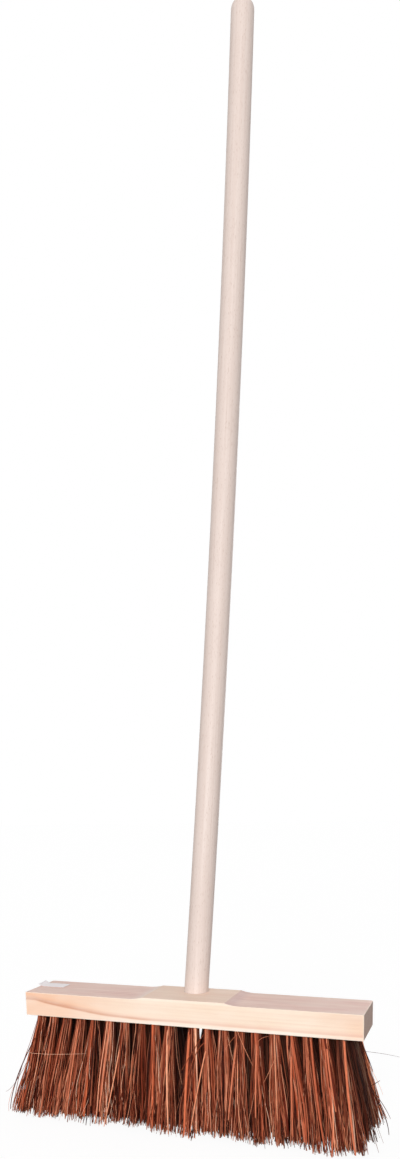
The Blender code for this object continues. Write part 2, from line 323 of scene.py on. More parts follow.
def place_group(tree, group, sockets):
    """Set a node group into a tree."""
    made = tree.nodes.new("GeometryNodeGroup" if tree.bl_idname == "GeometryNodeTree" else "ShaderNodeGroup")
    made.node_tree = group
    for name, value in sockets.items():
        if isinstance(value, Wire):
            tree.links.new(value.socket, made.inputs[name])
        else:
            made.inputs[name].default_value = value
    return {socket.name: Wire(tree, socket) for socket in made.outputs}


tuft_places = make_tuft_places()


def bored(tree, sides, radius, depth):
    """A drill's solid, standing on the origin."""
    size = {"Vertices": sides, "Radius": radius, "Depth": depth}
    return moved(out(tree, "GeometryNodeMeshCylinder", size, "Mesh"), Translation=(0, 0, depth / 2))


def make_drilled_head():
    """Takes the tuft holes, the slanted socket and the nail hole out of the board."""
    tree, given, made = new_tree("drilled_head", "GeometryNodeTree",
                                 [("Geometry", "Geometry", None), ("Hole Diameter", "Float", HOLE_DIAMETER),
                                  ("Hole Depth", "Float", HOLE_DEPTH), ("Material", "Material", None)])
    places = place_group(tree, tuft_places, {})["Points"]
    drill = bored(tree, HOLE_SIDES, 0.5, 1.0)
    size = xyz(tree, given["Hole Diameter"], given["Hole Diameter"], given["Hole Depth"] * 2)
    lowered = xyz(tree, 0.0, 0.0, given["Hole Depth"] * -1)
    holes = out(tree, "GeometryNodeInstanceOnPoints", {"Points": places, "Instance": drill, "Scale": size})
    holes = moved(out(tree, "GeometryNodeRealizeInstances", {"Geometry": holes}), Translation=lowered)
    socket = bored(tree, DRILL_SIDES, SOCKET_RADIUS, SOCKET_DEPTH * 2)
    socket = moved(socket, Translation=HANDLE_FOOT, Rotation=(-HANDLE_LEAN, 0.0, 0.0))
    nail = bored(tree, HOLE_SIDES, NAIL_HOLE_RADIUS, HEAD_DEPTH / 4)
    nail = moved(nail, Translation=NAIL_PLACE + Vector((0, HEAD_EDGE_ROUND, 0)),
                 Rotation=(math.pi / 2, 0.0, 0.0))
    drilled = out(tree, "GeometryNodeMeshBoolean",
                  {"Mesh 1": given["Geometry"], "Mesh 2": [nail, socket, holes]}, "Mesh",
                  operation="DIFFERENCE", solver="EXACT")
    return hand_over(made, drilled, given["Material"])


def head_board():
    """The board before drilling: its outline from the front, run through from front to back."""
    half_saddle = SADDLE_LENGTH / 2
    hollow = (SHOULDER_LENGTH ** 2 + SADDLE_RISE ** 2) / (2 * SADDLE_RISE)
    right = [(HEAD_HALF_LENGTH, UNDERSIDE_Z), (HEAD_HALF_LENGTH, LOW_TOP_Z)]
    for step in range(SHOULDER_STEPS + 1):
        run = SHOULDER_LENGTH * step / SHOULDER_STEPS
        rise = hollow - math.sqrt(hollow ** 2 - run ** 2)
        right.append((half_saddle + SHOULDER_LENGTH - run, LOW_TOP_Z + rise))
    outline = right + [(-x, z) for x, z in reversed(right)]
    bm = bmesh.new()
    face = bm.faces.new([bm.verts.new((x, HEAD_LOW.y, z)) for x, z in outline])
    run_through = bmesh.ops.extrude_face_region(bm, geom=[face])
    corners = [item for item in run_through["geom"] if isinstance(item, bmesh.types.BMVert)]
    bmesh.ops.translate(bm, verts=corners, vec=(0, HEAD_DEPTH, 0))
    bmesh.ops.recalc_face_normals(bm, faces=bm.faces)
    board = placed("board", mesh_of(bm, "board"))
    worn = board.modifiers.new("worn_edges", "BEVEL")
    worn.width = HEAD_EDGE_ROUND
    worn.segments = HEAD_EDGE_STEPS
    worn.limit_method = "ANGLE"
    return board


def make_wood_figure():
    """Shared by both woods: long streaks, short flecks and soft blotches; the grain runs along X."""
    tree, given, made = new_tree("wood_figure", "ShaderNodeTree",
                                 [("Vector", "Vector", (0, 0, 0)), ("Streak Length", "Float", 0.2),
                                  ("Streak Width", "Float", 0.0012), ("Fleck Length", "Float", 0.004),
                                  ("Fleck Width", "Float", 0.0006), ("Blotch Size", "Float", 0.05)],
                                 [("Streaks", "Float"), ("Flecks", "Float"), ("Blotches", "Float")])
    along, across, up = parts_of(given["Vector"])

    def stretched(length, width, detail):
        vector = xyz(tree, along / length, across / width, up / width)
        return noise(tree, vector, detail=detail, Roughness=0.55)

    streaks = stretched(given["Streak Length"], given["Streak Width"], 4.0).ramp(0.3, 0.7)
    flecks = stretched(given["Fleck Length"], given["Fleck Width"], 1.0).ramp(0.60, 0.72)
    blotches = stretched(given["Blotch Size"] * 2.5, given["Blotch Size"], 2.0).ramp(0.3, 0.7)
    for number, value in enumerate((streaks, flecks, blotches)):
        tree.links.new(value.socket, made.inputs[number])
    return tree


def make_edge_wear():
    """Shared by the head and the label: how near a point of a box-shaped piece is to its edges."""
    tree, given, made = new_tree("edge_wear", "ShaderNodeTree",
                                 [("Vector", "Vector", (0, 0, 0)), ("Low Corner", "Vector", (0, 0, 0)),
                                  ("High Corner", "Vector", (1, 1, 1)), ("Width", "Float", 0.002)],
                                 [("Wear", "Float")])
    here = parts_of(given["Vector"])
    low = parts_of(given["Low Corner"])
    high = parts_of(given["High Corner"])
    in_x, in_y, in_z = [(here[axis] - low[axis]).op("MINIMUM", high[axis] - here[axis]) for axis in range(3)]
    second = in_x.op("MINIMUM", in_y).op("MAXIMUM", in_x.op("MAXIMUM", in_y).op("MINIMUM", in_z))
    patchy = noise(tree, given["Vector"], 240.0, 3.0)
    wear = (second / given["Width"] + patchy * 0.8).ramp(1.3, 0.35, smooth=True)
    tree.links.new(wear.socket, made.inputs[0])
    return tree


wood_figure = make_wood_figure()
edge_wear = make_edge_wear()


def new_finish(name):
    """A material with one Principled shader; gives its tree, the shader and Object coordinates."""
    material = bpy.data.materials.new(name)
    material.use_nodes = True
    tree = material.node_tree
    shader = tree.nodes["Principled BSDF"]
    coords = Wire(tree, tree.nodes.new("ShaderNodeTexCoord").outputs["Object"])
    return material, tree, shader, coords


def blended(tree, share, one, other, blend="MIX"):
    """Two colours mixed by a share that changes over the surface."""
    one, other = [(*colour, 1.0) if isinstance(colour, tuple) else colour for colour in (one, other)]
    return out(tree, "ShaderNodeMix", {"Factor": share, "A": one, "B": other}, data_type="RGBA",
               blend_type=blend)


def layered(tree, colour, *layers):
    """A colour with others laid over it one after another, each by its share."""
    for share, other in layers:
        colour = blended(tree, share, colour, other)
    return colour


def bump(tree, height, strength, distance):
    """The normal of a surface roughened by a height."""
    return out(tree, "ShaderNodeBump", {"Height": height, "Strength": strength, "Distance": distance})


def dress(tree, shader, **sockets):
    """Link or set the shader's own sockets; an underscore stands for a space."""
    for name, value in sockets.items():
        socket = shader.inputs[name.replace("_", " ")]
        if isinstance(value, Wire):
            tree.links.new(value.socket, socket)
        else:
            socket.default_value = value


PINE_PALE = (0.94, 0.765, 0.60)
PINE_TOP = (0.955, 0.67, 0.59)
PINE_TOP_STREAK = (0.72, 0.45, 0.39)
# Painted shade on the right shoulder slope.
PINE_SLOPE_SHADE = (0.66, 0.44, 0.41)
PINE_LATE = (0.82, 0.54, 0.39)
# Painted shade for the top to the right of the handle.
PINE_TOP_RIGHT_SHADE = (0.72, 0.40, 0.30)
PINE_SADDLE = (1.0, 0.80, 0.60)
PINE_WARM = (0.86, 0.36, 0.15)
# Pale sapwood colour, also laid on the left shoulder slope as a painted sheen.
PINE_SAP_AND_SHEEN = (1.0, 0.90, 0.80)
PINE_DARK_YEAR = (0.50, 0.22, 0.10)
PINE_CORE = (0.56, 0.15, 0.03)
PINE_ROSE = (0.80, 0.42, 0.31)
PINE_END = (0.37, 0.228, 0.172)
PINE_END_LATE = (0.235, 0.135, 0.095)
PINE_WORN = (1.0, 0.86, 0.72)
PINE_WEAR_WIDTH = 0.0016
RING_WIDTH = 0.0046
RING_TILT = 0.42
RING_CURVE = 9.0
RING_WOBBLE = 0.0022
SWEEP_DROP = 0.0183
SWEEP_RUN = 0.07
END_DIP = 0.0028
MIDDLE_DIP = 0.0018
DARK_YEAR = 0.0226
DARK_YEAR_BELOW = 0.0012
DARK_YEAR_ABOVE = 0.0058
DARK_CORE_BELOW = 0.0006
DARK_CORE_ABOVE = 0.0026
FACING = (0.5, 0.9)
PLANER_MARKS = 80.0
SAW_MARKS = 120.0


def make_pine():
    """Planed pine: rings that sweep down along the left half, one dark year, darker end grain."""
    material, tree, shader, coords = new_finish("planed_pine")
    x, y, z = parts_of(coords)
    into = y - HEAD_LOW.y
    along = x - HEAD_LOW.x
    sweep = (along * (-1 / SWEEP_RUN)).op("EXPONENT").rest() * SWEEP_DROP
    sweep = sweep + along.ramp(0.0, 0.013, END_DIP, 0.0)
    sweep = sweep + along.ramp(0.06, 0.10, 0.0, MIDDLE_DIP) * along.ramp(0.15, 0.19, 1.0, 0.0)
    wobble = noise(tree, xyz(tree, x * 9, y * 30, z * 20))
    depth = (z - UNDERSIDE_Z) + sweep + into * RING_TILT + into * into * RING_CURVE
    depth = depth + (wobble - 0.5) * RING_WOBBLE
    year = (depth / RING_WIDTH).op("FRACT")
    late = year.ramp(0.35, 0.93, smooth=True) * year.ramp(1.0, 0.93)
    strength = noise(tree, xyz(tree, x * 2, depth * 90, 0.0))
    late = late * strength.ramp(0.35, 0.75)
    to_left = x.ramp(-0.03, -0.18, smooth=True)
    to_right = x.ramp(0.13, 0.20, smooth=True)
    below = (depth - DARK_YEAR) * -1
    above = depth - DARK_YEAR
    dark = below.ramp(DARK_YEAR_BELOW, 0.0) * above.ramp(DARK_YEAR_ABOVE, 0.0, smooth=True)
    core = below.ramp(DARK_CORE_BELOW, 0.0) * above.ramp(DARK_CORE_ABOVE, DARK_CORE_BELOW)
    core_share = x.ramp(0.02, -0.06, 0.10, 0.6) + along.ramp(0.04, 0.0, 0.0, 0.3)
    glow = above.ramp(-0.0005, 0.0) * above.ramp(0.011, 0.0, smooth=True)
    sap = below.ramp(DARK_YEAR_BELOW * 0.5, DARK_YEAR_BELOW * 1.6)
    figure = place_group(tree, wood_figure, {"Vector": coords, "Streak Length": 0.14, "Streak Width": 0.0026,
                                             "Fleck Length": 0.006, "Fleck Width": 0.0005,
                                             "Blotch Size": 0.022})
    streaks, flecks, blotches = figure.values()
    normal_x, normal_y, normal_z = parts_of(out(tree, "ShaderNodeNewGeometry", name="Normal"))
    upward = normal_z.ramp(*FACING)
    frontward = (normal_y * -1).ramp(*FACING)
    backward = normal_y.ramp(*FACING)
    end = normal_x.op("ABSOLUTE").ramp(0.6, 0.9)
    raised = (z - LOW_TOP_Z).ramp(SADDLE_RISE * 0.8, SADDLE_RISE)
    rosy_right = to_right * (z - UNDERSIDE_Z).ramp(0.010, 0.022)
    wear = place_group(tree, edge_wear, {"Vector": coords, "Low Corner": HEAD_LOW,
                                         "High Corner": (HEAD_HIGH.x, HEAD_HIGH.y, LOW_TOP_Z),
                                         "Width": PINE_WEAR_WIDTH})["Wear"]
    colour = layered(
        tree, blended(tree, upward, PINE_PALE, PINE_TOP),
        (late * (upward * 0.3 + 0.25), PINE_LATE),
        (frontward * sap * to_left.ramp(0.0, 1.0, 0.75, 0.35), PINE_SAP_AND_SHEEN),
        (frontward * (glow * 0.35 + sap * -0.14 + 0.65) * to_left, PINE_WARM),
        (backward * 0.35, PINE_WARM),
        (frontward * to_right * 0.28, PINE_WARM),
        (frontward * dark * to_left * 0.9, PINE_DARK_YEAR),
        (frontward * dark * 0.55, PINE_ROSE),
        (frontward * core * core_share, PINE_CORE),
        (frontward * rosy_right * 0.45, PINE_LATE),
        # Painted shade: the top is painted darker and redder to the right of the handle.
        (upward * x.ramp(0.04, 0.09) * 0.25, PINE_TOP_RIGHT_SHADE),
        (streaks * 0.36 * frontward, PINE_LATE),
        (streaks * 0.75 * upward, PINE_TOP_STREAK),
        (flecks * 0.22, PINE_LATE),
        (blotches * 0.3, PINE_SAP_AND_SHEEN),
        (upward * raised * 0.45, PINE_SADDLE),
        # Painted light: the left shoulder slope, which faces left, is painted paler as a painted sheen, and
        # the right one, which faces right, darker as painted shade.
        (upward * (normal_x * -1).ramp(0.03, 0.27) * 0.5, PINE_SAP_AND_SHEEN),
        (upward * normal_x.ramp(0.01, 0.16) * 0.6, PINE_SLOPE_SHADE),
        (end, blended(tree, late * 0.5 + blotches * 0.4, PINE_END, PINE_END_LATE)),
        (wear * 0.6, PINE_WORN))
    planer, sawn = [out(tree, "ShaderNodeTexWave",
                        {"Vector": coords, "Scale": scale, "Distortion": distortion, "Detail": 2.0},
                        wave_type="BANDS", bands_direction=axis)
                    for scale, distortion, axis in ((PLANER_MARKS, 3.0, "X"), (SAW_MARKS, 4.0, "Y"))]
    height = planer * 0.05 + streaks * 0.6 + late * 0.5 + flecks * -0.3 + end * sawn * 0.6
    dress(tree, shader, Base_Color=colour, Normal=bump(tree, height, 0.5, 0.0003),
          Roughness=streaks.ramp(0.0, 1.0, 0.46, 0.62), Specular_IOR_Level=0.45)
    return material


pine = make_pine()
head = grown("head", make_drilled_head(), {"Hole Diameter": HOLE_DIAMETER, "Hole Depth": HOLE_DEPTH,
                                           "Material": pine}, head_board())
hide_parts("head_block")
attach(head, "root")

# Handle: one turned and sanded beech stick, slightly bowed as such sticks are, with a low dome on top.
# Its chamfered foot sits in the head's slanted socket, and a nail from the back holds it.
HANDLE_RADIUS = 0.014
HANDLE_SHOWN = 1.1788
HANDLE_SUNK = 0.0212
HANDLE_BOW = 0.005
HANDLE_DOME = 0.006
HANDLE_CHAMFER = 0.0015
HANDLE_SIDES = 64
SHAFT_STEPS = 40
DOME_STEPS = 10
DOME_LAST_ANGLE = math.radians(87)
SHARP_ANGLE = math.radians(35)


def make_turned_stick():
    """A stick whose path bows and whose radius follows a chamfer, a straight shaft and a dome."""
    sizes = {"Shown Length": HANDLE_SHOWN, "Sunk Length": HANDLE_SUNK, "Radius": HANDLE_RADIUS,
             "Bow": HANDLE_BOW, "Dome Height": HANDLE_DOME, "Foot Chamfer": HANDLE_CHAMFER}
    tree, given, made = new_tree("turned_stick", "GeometryNodeTree",
                                 [(label, "Float", size) for label, size in sizes.items()]
                                 + [("Material", "Material", None)])
    index = out(tree, "GeometryNodeInputIndex")
    spine = out(tree, "GeometryNodeMeshLine",
                {"Count": SHAFT_STEPS + DOME_STEPS + 2, "Offset": (0.0, 0.0, 0.01)})
    shaft = given["Shown Length"] - given["Dome Height"] + given["Sunk Length"]
    chamfered = index.ramp(0.0, 1.0)
    share = index.ramp(1.0, SHAFT_STEPS + 1.0)
    angle = index.ramp(SHAFT_STEPS + 1.0, SHAFT_STEPS + DOME_STEPS + 1.0, 0.0, DOME_LAST_ANGLE)
    rise = chamfered * given["Foot Chamfer"] + (shaft - given["Foot Chamfer"]) * share
    height = rise + angle.op("SINE") * given["Dome Height"] - given["Sunk Length"]
    radius = given["Radius"] * angle.op("COSINE") - chamfered.rest() * given["Foot Chamfer"]
    up_share = (height / given["Shown Length"]).op("MAXIMUM", 0.0)
    sideways = given["Bow"] * 4 * up_share * up_share.rest()
    spine = out(tree, "GeometryNodeSetPosition",
                {"Geometry": spine, "Position": xyz(tree, sideways, 0.0, height)})
    path = out(tree, "GeometryNodeMeshToCurve", {"Mesh": note(spine, "thick", radius)})
    stick = moved(swept(path, HANDLE_SIDES, 1.0, noted(tree, "thick")), Translation=SOCKET_MOUTH,
                  Rotation=(-HANDLE_LEAN, 0.0, 0.0))
    return hand_over(made, stick, given["Material"])


BEECH_PALE = (0.760, 0.640, 0.582)
BEECH_STREAK = (0.63, 0.49, 0.43)
BEECH_FLECK = (0.50, 0.35, 0.28)
BEECH_BLOTCH = (0.82, 0.70, 0.64)


def make_beech():
    """Sanded beech: faint long streaks and the short brown ray flecks that tell it from other woods."""
    material, tree, shader, coords = new_finish("sanded_beech")
    lengthwise = out(tree, "ShaderNodeMapping",
                     {"Vector": coords, "Rotation": (HANDLE_LEAN, math.pi / 2, 0.0)})
    figure = place_group(tree, wood_figure, {"Vector": lengthwise, "Streak Length": 0.16,
                                             "Streak Width": 0.0016, "Fleck Length": 0.0045,
                                             "Fleck Width": 0.0007, "Blotch Size": 0.02})
    streaks, flecks, blotches = figure.values()
    colour = layered(tree, BEECH_PALE, (streaks * 0.50, BEECH_STREAK), (flecks * 0.52, BEECH_FLECK),
                     (blotches * 0.18, BEECH_BLOTCH))
    height = streaks * 0.5 + flecks * -0.5
    dress(tree, shader, Base_Color=colour, Normal=bump(tree, height, 0.45, 0.0002),
          Roughness=streaks.ramp(0.0, 1.0, 0.44, 0.58), Specular_IOR_Level=0.4)
    return material


beech = make_beech()
handle = grown("handle_stick", make_turned_stick(), {"Material": beech})
handle.data.shade_smooth()
handle.data.set_sharp_from_angle(angle=SHARP_ANGLE)
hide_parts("handle")
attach(handle, "root")

# Nail: a bright drawn wire nail, driven from the back through the head's wood into the handle.
# The CAD solid has its shape, so it stays and gets the steel.
STEEL_BRIGHT = (0.58, 0.58, 0.60)
STEEL_TARNISHED = (0.33, 0.29, 0.26)


def make_steel():
    """Drawn wire, a little dulled, with fine scratches."""
    material, tree, shader, coords = new_finish("nail_steel")
    scratches = noise(tree, coords, 2600.0, 4.0)
    tarnish = noise(tree, coords, 700.0)
    colour = blended(tree, tarnish.ramp(0.45, 0.7), STEEL_BRIGHT, STEEL_TARNISHED)
    dress(tree, shader, Base_Color=colour, Metallic=1.0, Normal=bump(tree, scratches, 0.12, 0.0001),
          Roughness=scratches.ramp(0.3, 0.7, 0.28, 0.45))
    return material


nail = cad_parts["handle_nail"]
nail.data.materials.clear()
nail.data.materials.append(make_steel())

# Label: a blank white paper label, stuck across the left end of the head's low top.
# Its end stands past the wood and has curled up a little.
LABEL_LOW, LABEL_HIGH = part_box("label")
LABEL_THICKNESS = LABEL_HIGH.z - LABEL_LOW.z
LABEL_STEPS = 28
CURL_START = 0.008
CURL_RISE = 0.0020
CURL_POWER = 1.6
CORNER_LIFT = 0.0011
CORNER_POWER = 1.5
PAPER_WHITE = (1.0, 0.935, 0.945)
PAPER_FIBRE = (0.95, 0.88, 0.89)
PAPER_SOILED = (0.78, 0.73, 0.68)
PAPER_EDGE = (0.80, 0.76, 0.71)


def make_label_paper():
    """Coated white paper: faint fibre, a soft sheen, edges a little soiled."""
    material, tree, shader, coords = new_finish("label_paper")
    pulp = noise(tree, coords, 1500.0, 3.0)
    soiling = noise(tree, coords, 120.0, 3.0)
    wear = place_group(tree, edge_wear, {"Vector": coords, "Low Corner": LABEL_LOW,
                                         "High Corner": LABEL_HIGH, "Width": 0.0008})["Wear"]
    colour = layered(tree, PAPER_WHITE, (pulp.ramp(0.3, 0.7) * 0.3, PAPER_FIBRE),
                     (soiling.ramp(0.55, 0.8) * 0.25, PAPER_SOILED), (wear * 0.25, PAPER_EDGE))
    dress(tree, shader, Base_Color=colour, Normal=bump(tree, pulp, 0.25, 0.0001), Roughness=0.42)
    return material


def curled_label():
    """A sheet of small squares, lifted where it leaves the wood and at its free corners."""
    bm = bmesh.new()
    length = LABEL_HIGH.x - LABEL_LOW.x
    width = LABEL_HIGH.y - LABEL_LOW.y
    rows = []
    for i in range(LABEL_STEPS + 1):
        row = []
        for j in range(LABEL_STEPS // 2 + 1):
            x = LABEL_LOW.x + length * i / LABEL_STEPS
            y = LABEL_LOW.y + width * j * 2 / LABEL_STEPS
            free = max(0.0, (LABEL_LOW.x + CURL_START - x) / CURL_START)
            to_back = j * 2 / LABEL_STEPS
            lift = CURL_RISE * free ** CURL_POWER + CORNER_LIFT * free ** CORNER_POWER * to_back ** 2
            row.append(bm.verts.new((x, y, LABEL_LOW.z + lift)))
        rows.append(row)
    for one, other in zip(rows, rows[1:]):
        for j in range(len(one) - 1):
            bm.faces.new((one[j], other[j], other[j + 1], one[j + 1]))
    bmesh.ops.recalc_face_normals(bm, faces=bm.faces)
    mesh = mesh_of(bm, "label_paper")
    mesh.shade_smooth()
    return mesh


label = placed("label_sheet", curled_label())
label.data.materials.append(make_label_paper())
thick = label.modifiers.new("paper_thickness", "SOLIDIFY")
thick.thickness = LABEL_THICKNESS
thick.offset = 1.0
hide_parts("label")
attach(label, "root")

# Tufts: bundles of stiff brown palm fibre, folded in two and anchored in the drilled holes, then cut level.
# Fine round fibres and broad flat splints are mixed, and they splay towards the ground and the ends.
BRISTLE_LENGTH = UNDERSIDE_Z
ROOT_INSIDE = 0.007
ROOT_RING = 0.0052
TIP_RING = 0.0090
SPREAD_POWER = 0.8
CORNER_FROM = 0.13
CORNER_DRAW = 0.011
BESIDE_ROOT = 0.15
BESIDE_FAN = 1.3
BESIDE_LEAN = 0.008
END_FLARE = 0.027
END_FLARE_POWER = 1.5
SIDE_FLARE = 0.0135
TIP_RAGGEDNESS = 0.0035
TIP_CUT_POWER = 2.2
TIP_CLEAR = 0.0006
STRAND_SEGMENTS = 9
TUFT_LEAN = 0.0025
CLUMPS_PER_TUFT = 6
CLUMP_LEAN = 0.0035
CLUMP_CUT = 0.0110
CLUMP_CUT_POWER = 1.2
CLUMP_TONE = 0.22
TUFT_SEED = 400
NUMBERS_PER_TUFT = 1000
SIDE_WANDER = 0.5
EVEN_LEAN = 0.45
RARE_LEAN = 0.55
GIRTH_RANGE = (0.65, 1.35)
WAVES = 1.3
WAVE_REACH = 0.28
STRAND_TWIST = 0.8
DARK_TONES_POWER = 1.35
DARK_TONES_FROM = 0.2
# Lit share of the strands that face into a tuft, at the head and at the tips; the rest of their colour is
# painted shade.
INNER_LIT_SHARE = (0.11, 0.32)
BARE_SHADE = 0.6
LAST_RANK_X = OUTER_TUFT_X - TUFT_PITCH / 2
LAST_RANK_SHADE = (0.7, 0.0)
LAST_RANK_WORN = 0.007
REACH_X = cad_high.x + 0.0115
REACH_Y = cad_low.y - 0.0078
# The kinds of strand: how many are in a tuft, their thickness, flatness and sides, their lowest and highest
# tone, how far they wander, how red they get, and their seed.
FIBRE_SEED = 11
STRAND_KINDS = {
    "Fibres per Tuft": (80, 0.0009, 0.8, 4, (0.02, 0.85), 0.015, 0.5, FIBRE_SEED),
    "Splints per Tuft": (26, 0.0018, 0.35, 6, (0.12, 0.95), 0.011, 0.9, FIBRE_SEED + 50),
    "Broad Splints per Tuft": (4, 0.0029, 0.24, 6, (0.50, 0.86), 0.006, 1.0, FIBRE_SEED + 100),
    "Hairs per Tuft": (14, 0.0005, 0.9, 4, (0.70, 1.0), 0.024, 0.1, FIBRE_SEED + 150),
}


def tones_power(tones):
    """Fine fibres are mostly dark, splints mostly bright."""
    return DARK_TONES_POWER if tones[0] < DARK_TONES_FROM else 1.0


def strands(tree, places, count, thickness, flatness, sides, tones, wander, redness, seed):
    """One kind of strand in every tuft: scattered roots, a splayed and wandering path, a solid skin."""
    points = note(places, "home", out(tree, "GeometryNodeInputPosition"), "FLOAT_VECTOR")
    doubled = put(tree, "GeometryNodeDuplicateElements", {"Geometry": points, "Amount": count},
                  domain="POINT")
    points = Wire(tree, doubled.outputs["Geometry"])
    tuft = noted(tree, "tuft")
    number = tuft * NUMBERS_PER_TUFT + Wire(tree, doubled.outputs["Duplicate Index"])

    def cast(low, high, step):
        return dice(tree, number, low, high, seed + step)

    angle = cast(0.0, math.tau, 1)
    ring = cast(0.0, 1.0, 2).op("SQRT")
    clump = tuft * CLUMPS_PER_TUFT + (angle * (CLUMPS_PER_TUFT / math.tau)).op("FLOOR")

    def lean(step, reach):
        own = cast(-1.0, 1.0, step + 2) * EVEN_LEAN + cast(-1.0, 1.0, step + 4) ** 3 * RARE_LEAN
        return (dice(tree, tuft, -1.0, 1.0, TUFT_SEED + step) * TUFT_LEAN
                + dice(tree, clump, -1.0, 1.0, TUFT_SEED + step + 2) * CLUMP_LEAN + own * reach)

    for name, value in (
            ("ring", xyz(tree, ring * angle.op("COSINE"), ring * angle.op("SINE"), 0.0)),
            ("lean", xyz(tree, lean(1, wander), lean(2, wander * SIDE_WANDER), 0.0)),
            ("sway", xyz(tree, cast(-1.0, 1.0, 7), cast(-1.0, 1.0, 8), cast(0.0, 1.0, 9)))):
        points = note(points, name, value, "FLOAT_VECTOR")
    behind = noted(tree, "row").op("GREATER_THAN", 0.5)
    worn = noted_parts(tree, "home")[0].op("GREATER_THAN", LAST_RANK_X) * behind * LAST_RANK_WORN
    clump_cut = dice(tree, clump, 0.0, 1.0, TUFT_SEED + 5) ** CLUMP_CUT_POWER * CLUMP_CUT
    clump_tone = dice(tree, clump, -1.0, 1.0, TUFT_SEED + 6) * CLUMP_TONE
    for name, value in (
            ("cut", cast(0.0, 1.0, 10) ** TIP_CUT_POWER * TIP_RAGGEDNESS + clump_cut + worn),
            ("tone", cast(*tones, 11) ** tones_power(tones) + clump_tone),
            ("girth", cast(*GIRTH_RANGE, 12) * (thickness / 2)),
            ("turn", cast(-1.0, 1.0, 13)),
            ("redness", cast(0.0, 1.0, 14) * redness)):
        points = note(points, name, value)
    line = out(tree, "GeometryNodeCurvePrimitiveLine", {"Start": (0, 0, 0), "End": (0, 0, -1)})
    line = out(tree, "GeometryNodeResampleCurve", {"Curve": line, "Count": STRAND_SEGMENTS + 1})
    curves = out(tree, "GeometryNodeInstanceOnPoints", {"Points": points, "Instance": line})
    curves = out(tree, "GeometryNodeRealizeInstances", {"Geometry": curves})
    curves = note(curves, "along", out(tree, "GeometryNodeSplineParameter", name="Factor"))
    along = noted(tree, "along")
    home_x, home_y, home_z = noted_parts(tree, "home")
    ring_x, ring_y, _ = noted_parts(tree, "ring")
    lean_x, lean_y, _ = noted_parts(tree, "lean")
    sway_x, sway_y, sway_phase = noted_parts(tree, "sway")
    out_x = home_x / OUTER_TUFT_X
    out_y = (home_y - HEAD_MIDDLE_Y) / OUTER_ROW_Y
    length = noted(tree, "cut") * -1 + (BRISTLE_LENGTH - TIP_CLEAR)
    dropped = (length + ROOT_INSIDE) * along - ROOT_INSIDE
    opened = (dropped / BRISTLE_LENGTH).op("MAXIMUM", 0.0)
    spread = opened ** SPREAD_POWER
    row = noted(tree, "row")
    in_front = row.op("LESS_THAN", 0.5)
    beside = home_x.op("ABSOLUTE").op("LESS_THAN", BESIDE_BARE)
    closing = beside * in_front.rest() * home_x.op("SIGN") * BESIDE_LEAN
    drawn_in = home_x.ramp(CORNER_FROM, OUTER_TUFT_X) * (row * (-1 / (TUFT_ROWS - 1)) + 1) * CORNER_DRAW
    fan = (beside * BESIDE_FAN + 1) * (TIP_RING - ROOT_RING)
    reach_y = spread * (TIP_RING - ROOT_RING) + ROOT_RING
    reach_x = spread * fan + (beside * BESIDE_ROOT + 1) * ROOT_RING
    flare_x = out_x.op("ABSOLUTE") ** END_FLARE_POWER * out_x.op("SIGN") * END_FLARE
    flare_y = out_y * SIDE_FLARE
    wave = ((along * WAVES + sway_phase) * math.tau).op("SINE") * opened * wander * WAVE_REACH
    path_x = home_x + ring_x * reach_x + (flare_x - closing - drawn_in) * opened
    path_x = path_x + lean_x * spread + wave * sway_x
    path_y = home_y + ring_y * reach_y + flare_y * opened + lean_y * spread + wave * sway_y
    path_x = path_x.op("MINIMUM", REACH_X).op("MAXIMUM", -REACH_X)
    path = xyz(tree, path_x, path_y.op("MAXIMUM", REACH_Y), home_z - dropped)
    curves = out(tree, "GeometryNodeSetPosition", {"Geometry": curves, "Position": path})
    # Painted shade: only the strands on the outward faces of the front and back rows keep their full colour,
    # a little less on the sides of each tuft. Strands facing into the bundle are painted dark near the head
    # and less so towards the tips. The rows behind, beside the bare middle, and the front tuft at the right
    # end are painted darker still near the head.
    outward = ring_y * out_y.op("SIGN")
    outer_row = out_y.op("ABSOLUTE").op("GREATER_THAN", 0.6)
    open_face = outer_row * outward.ramp(-0.5, 0.5, smooth=True)
    open_face = open_face * ring_x.op("ABSOLUTE").ramp(0.7, 1.0, 1.0, 0.75)
    inner = opened.ramp(0.0, 1.0, *INNER_LIT_SHARE)
    last_rank = home_x.op("GREATER_THAN", LAST_RANK_X) * in_front * opened.ramp(0.0, 1.0, *LAST_RANK_SHADE)
    hollow = beside * in_front.rest() * opened.ramp(0.0, 0.6, BARE_SHADE, 0.0)
    unshaded = last_rank.rest() * hollow.rest()
    curves = note(curves, "bleached", (open_face * inner.rest() + inner) * unshaded)
    taper = along.ramp(0.9, 1.0, 1.0, 0.75) * along.ramp(0.0, 0.15, 0.85, 1.0)
    curves = out(tree, "GeometryNodeSetCurveTilt",
                 {"Curve": curves, "Tilt": noted(tree, "turn") * (along * STRAND_TWIST + 1.0) * math.pi})
    return swept(curves, sides, flatness, noted(tree, "girth") * taper)


def make_tuft_tree():
    """The tufts of one rank, from fine fibres and splints."""
    tree, given, made = new_tree("palm_tufts", "GeometryNodeTree",
                                 [("First Place", "Int", 0), ("Last Place", "Int", 0)]
                                 + [(label, "Int", kind[0]) for label, kind in STRAND_KINDS.items()]
                                 + [("Material", "Material", None)])
    places = place_group(tree, tuft_places, {"First Place": given["First Place"],
                                             "Last Place": given["Last Place"]})["Points"]
    kinds = [strands(tree, places, given[label], *kind[1:]) for label, kind in STRAND_KINDS.items()]
    return hand_over(made, out(tree, "GeometryNodeJoinGeometry", {"Geometry": kinds}), given["Material"])


